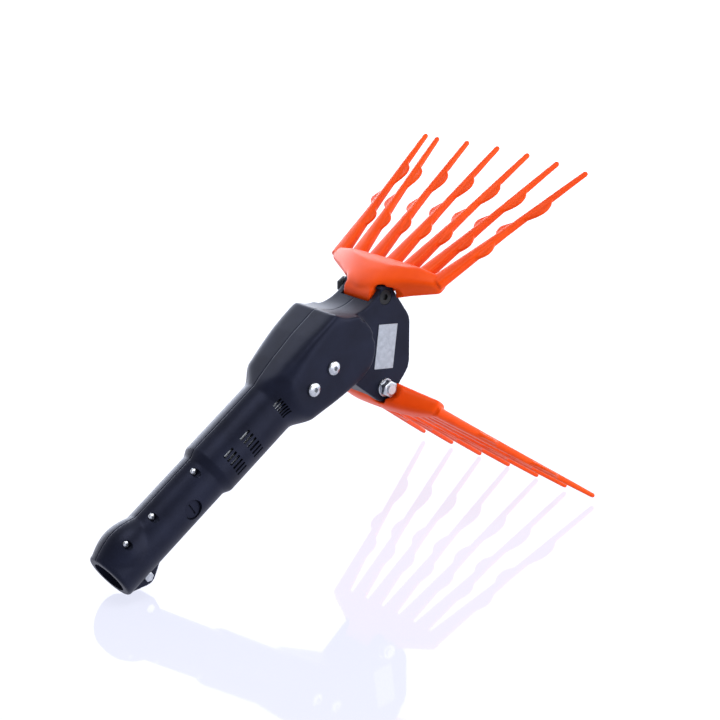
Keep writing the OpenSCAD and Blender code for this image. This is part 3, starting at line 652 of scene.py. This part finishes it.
def hexNut(bm, r, y0, y1, place, bevel):
    made = rod(bm, r, 0, 0, y0, y1, 6, place)
    edges = list({e for v in made for e in v.link_edges})
    bmesh.ops.bevel(bm, geom=edges, offset=bevel, affect="EDGES", segments=3, profile=0.5, material=-1)


nutBase = -cheek["half"] - hinge["washerT"]
flips = {"upper": Matrix.Rotation(math.pi, 4, "Z"), "lower": Matrix.Identity(4)}
hingePlaces = [Matrix.Translation((x, 0, z)) @ flips[name] for name, (x, z) in hingeAt.items()]


def nuts(bm):
    for place in hingePlaces:
        hexNut(bm, hinge["nutR"], nutBase - hinge["nutT"], nutBase, place, hinge["nutBevel"])


def nutBores(bm):
    for place in hingePlaces:
        rod(bm, hinge["boltR"] + hinge["nutPlay"], 0, 0, *hinge["nutBore"], 40, place)


def washers(bm):
    inner, outer = hinge["boltR"] + hinge["washerPlay"], hinge["washerR"]
    thick, edge = hinge["washerT"], hinge["washerEdge"]
    ring = ((0, inner), (0, outer - edge), (edge, outer), (thick, outer), (thick, inner), (0, inner))
    for place in hingePlaces:
        turned(bm, [(nutBase + y, r) for y, r in ring], place)


nutPiece = cut(addSolid("nuts", nuts), nutBores)
finishPiece(nutPiece, "hingeNuts", "housing", "hinge_nuts", zincWithPaintedShadeSteel, 40)
washerPiece = addSolid("washers", washers)
finishPiece(washerPiece, "hingeWashers", "housing", "hinge_washers", zincWithPaintedShadeSteel, 40)

clamp = {"headR": 4.25, "headH": 4.0, "bevel": 0.4, "shankR": 2.5, "reach": 17.0, "overlap": 0.5}


def clampBolt(bm):
    x, z = lug["at"]
    place = toHandle @ Matrix.Translation((x, 0, z))
    seat = -lug["half"]
    hexNut(bm, clamp["headR"], seat - clamp["headH"], seat, place, clamp["bevel"])
    rod(bm, clamp["shankR"], 0, 0, seat - clamp["overlap"], clamp["reach"], 32, place)


finishPiece(addSolid("bolt", clampBolt), "clampBolt", "housing", "clamp_bolt", zincSteel, 40)
print("fasteners done")

# deep gives half depths along a tine, fins their start, end and side, as shares of its length
# endLean brings the tip of the far end tine in towards its neighbour
comb = {
    "length": {"upper": 154, "lower": 184}, "endLean": {"upper": 22, "lower": 0},
    "angle": 36.8, "count": 7, "rootPitch": 21.3, "tipPitch": 38.0, "rootAhead": 31.0, "drop": 0.5,
    "lean": 2.7, "back": 4.0, "tipR": 2.4, "taper": 1.2, "tipTurns": (20, 40, 60, 80),
    "deep": ((0, 4.8), (0.3, 3.7), (0.84, 2.6), (1, 2.1)), "blade": 7.8, "bladeReach": 0.46,
    "finH": 9.8, "finT": 2.6, "finShare": 0.4, "finSkew": 1.5, "finRound": 0.7,
    "fins": ((0.17, 0.37, -1), (0.56, 0.385, 1), (0.54, 0.765, -1)), "stations": 72,
    "hubR": 12.0, "hubHalf": 16.5, "bushR": 6.05, "pinR": 3.05, "through": 30,
    "voxel": 0.86, "soften": 2, "neckSoften": 16,
}
# the crescent bar that carries the tines: rear and side as rows of points, top as its middle and its ends
# its width and height draw in over the last share of its length
base = {
    "half": 67.9, "front": 34.0, "rear": ((0, -6), (16.5, -4), (22, 1.5), (40, 11), (67.9, 23)),
    "top": (15.5, 3.0), "low": 9.5, "side": ((-2, 17.5), (10, 16.5), (24, 14), (34, 8)),
    "endFrom": 0.95, "endShare": 0.05, "endLeast": 0.1, "endWidth": (0.6, 0.4),
    "stations": 48, "points": 36,
}
neck = {"turns": (145, 268), "front": [(12, -9.5), (12, 12), (-3, 12), (-8, 9)]}
lever = {"at": (4.2, -9.0), "thick": 4.8, "rootR": 11, "endR": 5.5, "length": 27}
# room in the bar for the ears of the housing and for the hinge nuts, as spans across y
earRoom = {
    "span": (17.0, 25.5), "play": 1, "back": -24, "top": 4, "topPlay": 0.8, "step": -10.5, "low": -36,
    "lowPlay": 4.2, "nutSpan": (24.0, 35.0), "nutR": 9.5,
}


def finHeight(u, side):
    # how far the fin stands out at this share of the tine's length
    high = 0.0
    for start, end, finSide in comb["fins"]:
        share = (u - start) / (end - start)
        if finSide == side and 0 < share < 1:
            bulge = math.sin(math.pi * share ** comb["finSkew"]) ** comb["finRound"]
            high = max(high, comb["finH"] * bulge)
    return high


def tineRing(u, tip):
    # cross-section of a tine: a rounded bar that widens to a blade at the root, with thin fins at its sides
    share = 1 - min(1, max(0, u / comb["bladeReach"]))
    slim = comb["tipR"] + comb["taper"] * (1 - u)
    thick = along(comb["deep"], u) * tip
    wide = (slim + (comb["blade"] - slim) * share) * tip
    near, far = (max(wide, finHeight(u, side)) for side in (-1, 1))
    half = min(comb["finT"] / 2, thick * comb["finShare"])
    crown, corner, flank = 0.3 * wide, 0.72 * wide, 0.96 * wide  # three steps of the rounding
    cornerUp, flankUp = 0.9 * thick, 0.5 * thick
    top = [(corner, cornerUp), (crown, thick), (-crown, thick), (-corner, cornerUp)]
    right = [(-flank, flankUp), (-near, half), (-near, -half), (-flank, -flankUp)]
    left = [(flank, -flankUp), (far, -half), (far, half), (flank, flankUp)]
    return top + right + [(y, -n) for y, n in reversed(top)] + left


def addTine(bm, k, length, lean):
    heading = math.atan2((comb["tipPitch"] - comb["rootPitch"]) * k - lean, length)
    place = Matrix.Translation((comb["rootAhead"], comb["rootPitch"] * k, -comb["drop"]))
    place = place @ Matrix.Rotation(heading, 4, "Z") @ Matrix.Rotation(math.radians(comb["lean"]), 4, "Y")
    count = comb["stations"]
    steps = [(-comb["back"], 1.0)] + [(length * i / count, 1.0) for i in range(count + 1)]
    turns = [math.radians(t) for t in comb["tipTurns"]]
    steps += [(length + comb["tipR"] * math.sin(t), math.cos(t)) for t in turns]
    rings = [[place @ Vector((x, y, n)) for y, n in tineRing(min(1, x / length), tip)] for x, tip in steps]
    loft(bm, rings)


def squarer(value):
    # makes a round section fuller at its corners
    return math.copysign(abs(value) ** 0.5, value)


def baseRing(y):
    # cross-section of the crescent bar: wide and thick in the middle, slim and round at its ends
    w = y / base["half"]
    rear = along(base["rear"], abs(y))
    middleTop, endTop = base["top"]
    top = endTop + (middleTop - endTop) * (1 - w * w)
    past = max(0.0, (abs(w) - base["endFrom"]) / base["endShare"])
    end = math.sqrt(max(base["endLeast"], 1 - past ** 2))
    least, more = base["endWidth"]
    midX, midZ = (rear + base["front"]) / 2, (top - base["low"]) / 2
    halfX, halfZ = (base["front"] - rear) / 2 * (least + more * end), (top + base["low"]) / 2 * end
    ring = []
    for i in range(base["points"]):
        turn = math.tau * i / base["points"]
        x = midX + halfX * squarer(math.cos(turn))
        ring.append((x, y, min(midZ + halfZ * squarer(math.sin(turn)), along(base["side"], x))))
    return ring


def addBase(bm):
    count = base["stations"]
    turns = [math.pi / 2 * (2 * i / count - 1) for i in range(count + 1)]
    loft(bm, [baseRing(base["half"] * math.sin(t)) for t in turns])


def addLevers(bm):
    # two arms from the hub to the yoke, square to the head axis
    outline = arc(0, 0, lever["rootR"], 170, 10, 16)
    outline += arc(0, -lever["length"], lever["endR"], -12, -168, 12)
    for y0 in lever["at"]:
        extrudeOutline(bm, outline, y0, y0 + lever["thick"])


def bothSides(span):
    y0, y1 = span
    return (y0, y1), (-y1, -y0)


def earRound(bm, ear):
    for y0, y1 in bothSides(earRoom["span"]):
        rod(bm, ear + earRoom["play"], 0, 0, y0, y1, 64)


def earBack(bm, ear):
    back, top, step, low = (earRoom[key] for key in ("back", "top", "step", "low"))
    upper, lower = ear + earRoom["topPlay"], ear + earRoom["lowPlay"]
    outline = [(back, top), (upper, top), (lower, step), (lower, low), (back, low)]
    for y0, y1 in bothSides(earRoom["span"]):
        extrudeOutline(bm, outline, y0, y1)


def nutRoom(bm):
    for y0, y1 in bothSides(earRoom["nutSpan"]):
        rod(bm, earRoom["nutR"], 0, 0, y0, y1, 48)


def neckForm(bm):
    outline = arc(0, 0, comb["hubR"], *neck["turns"], 18) + neck["front"]
    extrudeOutline(bm, outline, -comb["hubHalf"], comb["hubHalf"])


def buildComb(name, sign, ear):
    length, endLean, through = comb["length"][name], comb["endLean"][name], comb["through"]
    x, z = hingeAt["upper"]
    turn = Matrix.Rotation(-math.radians(comb["angle"]), 4, "Y")
    last = (comb["count"] - 1) // 2
    basePart = addSolid("base", addBase)
    for shape in (lambda bm: earRound(bm, ear), lambda bm: earBack(bm, ear), nutRoom):
        cut(basePart, shape)  # one by one, because they overlap
    hubHalf = comb["hubHalf"]
    parts = [fused([basePart, addSolid("neck", neckForm)], comb["voxel"], comb["neckSoften"])]
    parts += [addSolid("hub", lambda bm: rod(bm, comb["hubR"], 0, 0, -hubHalf, hubHalf, 64))]
    for k in range(-last, last + 1):
        lean = endLean if k == last else 0
        parts += [addSolid("tine", lambda bm: addTine(bm, k, length, lean))]
    parts += [addSolid("levers", addLevers, turn.inverted())]
    obj = fused(parts, comb["voxel"], comb["soften"])
    place = Matrix.Translation((x, 0, z)) @ turn
    if sign < 0:
        place = Matrix.Diagonal((1, 1, -1, 1)) @ place
    bm = bmesh.new()
    bm.from_mesh(obj.data)
    bmesh.ops.transform(bm, verts=bm.verts, matrix=place)
    bmesh.ops.recalc_face_normals(bm, faces=bm.faces)
    bm.to_mesh(obj.data)
    bm.free()
    cut(obj, lambda bm: rod(bm, comb["bushR"], x, sign * z, -through, through, 40))
    cut(obj, lambda bm: rod(bm, comb["pinR"], x, sign * (z - lever["length"]), -through, through, 32))
    print(name, "comb:", len(obj.data.polygons), "faces")
    finishPiece(obj, name + "Comb", name + "_comb", name + "_comb", orangePlastic, 60)


buildComb("upper", 1, cheek["upperR"])
buildComb("lower", -1, cheek["lowerR"])

# metres, lens and sensor in millimetres
look = {
    "camera": (-0.9313, -1.1330, 0.6211), "target": (0.0433, 0.0, 0.1444),
    "lens": 91.07, "sensor": 36, "reach": 100,
}
sightLine = Vector(look["target"]) - Vector(look["camera"])
camData = bpy.data.cameras.new("camera")
camData.lens = look["lens"]
camData.sensor_width = look["sensor"]
camData.clip_end = look["reach"]
cam = bpy.data.objects.new("camera", camData)
cam.location = look["camera"]
cam.rotation_euler = sightLine.to_track_quat("-Z", "Y").to_euler()
bpy.context.scene.collection.objects.link(cam)
bpy.context.scene.camera = cam

# a glossy white table: a grey ground lifted by a cool glow, so that its mirror image shows on white
table = {
    "half": 30, "ground": (0.14, 0.14, 0.15, 1), "rough": 0.04, "ior": 1.33,
    "glow": (0.84, 0.86, 1, 1), "strength": 0.88,
}
bm = bmesh.new()
bmesh.ops.create_grid(bm, x_segments=1, y_segments=1, size=table["half"])
floor = newObject("floor", bm)
floorMat, _, floorShader = newMaterial("glossWhiteTable")
floorShader.inputs["Base Color"].default_value = table["ground"]
floorShader.inputs["Roughness"].default_value = table["rough"]
floorShader.inputs["IOR"].default_value = table["ior"]
floorShader.inputs["Emission Color"].default_value = table["glow"]
floorShader.inputs["Emission Strength"].default_value = table["strength"]
floor.data.materials.append(floorMat)

# a room that is brightest behind the tool, dim on the near side and overhead
studio = {
    "tilt": 0.15, "facing": (-0.35, 0.8), "glow": (0.4, 2.6), "rise": (0.42, 0.74), "fade": (1.0, 0.22),
    "colour": (0.93, 0.95, 1, 1),
}
ends = ("From Min", "From Max", "To Min", "To Max")
sight = sightLine.normalized()
world = bpy.data.worlds.new("studio")
world.use_nodes = True
room = world.node_tree
direction = addNode(room, "ShaderNodeTexCoord").outputs["Generated"]
facing = addNode(room, "ShaderNodeVectorMath", settings={"operation": "DOT_PRODUCT"},
                 inputs={1: (sight.x, sight.y, studio["tilt"])}, links={0: direction})
smooth = {"interpolation_type": "SMOOTHSTEP"}
glow = addNode(room, "ShaderNodeMapRange", settings=smooth, links={"Value": facing.outputs["Value"]},
               inputs=dict(zip(ends, studio["facing"] + studio["glow"])))
rise = addNode(room, "ShaderNodeSeparateXYZ", links={"Vector": direction})
fade = addNode(room, "ShaderNodeMapRange", settings=smooth, links={"Value": rise.outputs["Z"]},
               inputs=dict(zip(ends, studio["rise"] + studio["fade"])))
shine = addNode(room, "ShaderNodeMath", settings={"operation": "MULTIPLY"},
                links={0: glow.outputs["Result"], 1: fade.outputs["Result"]})
background = room.nodes["Background"]
background.inputs["Color"].default_value = studio["colour"]
room.links.new(shine.outputs["Value"], background.inputs["Strength"])
bpy.context.scene.world = world
bpy.context.scene.view_settings.view_transform = "Standard"

# place, size, power, colour
lights = {
    "keyLight": ((-0.3, -0.2, 1.8), 0.9, 15, (1, 1, 1)),
    "rimLight": ((0.5, 1.5, 0.45), 1.4, 20, (0.74, 0.82, 1)),
    "fillLight": ((0.8, -1.7, 0.7), 2.2, 42, (1, 1, 1)),
}
lampTarget = Vector((0, 0, 0.15))  # about the middle of the tool
# the side lights leave the floor out, so that it doesn't mirror the lamps
offFloor = bpy.data.collections.new("offFloor")
offFloor.objects.link(floor)
offFloor.collection_objects[0].light_linking.link_state = "EXCLUDE"
for name, (spot, size, power, colour) in lights.items():
    data = bpy.data.lights.new(name, "AREA")
    data.shape = "SQUARE"
    data.size = size
    data.energy = power
    data.color = colour
    lamp = bpy.data.objects.new(name, data)
    lamp.location = spot
    lamp.rotation_euler = (lampTarget - Vector(spot)).to_track_quat("-Z", "Y").to_euler()
    bpy.context.scene.collection.objects.link(lamp)
    if name != "keyLight":
        lamp.light_linking.receiver_collection = offFloor
print("stage set")
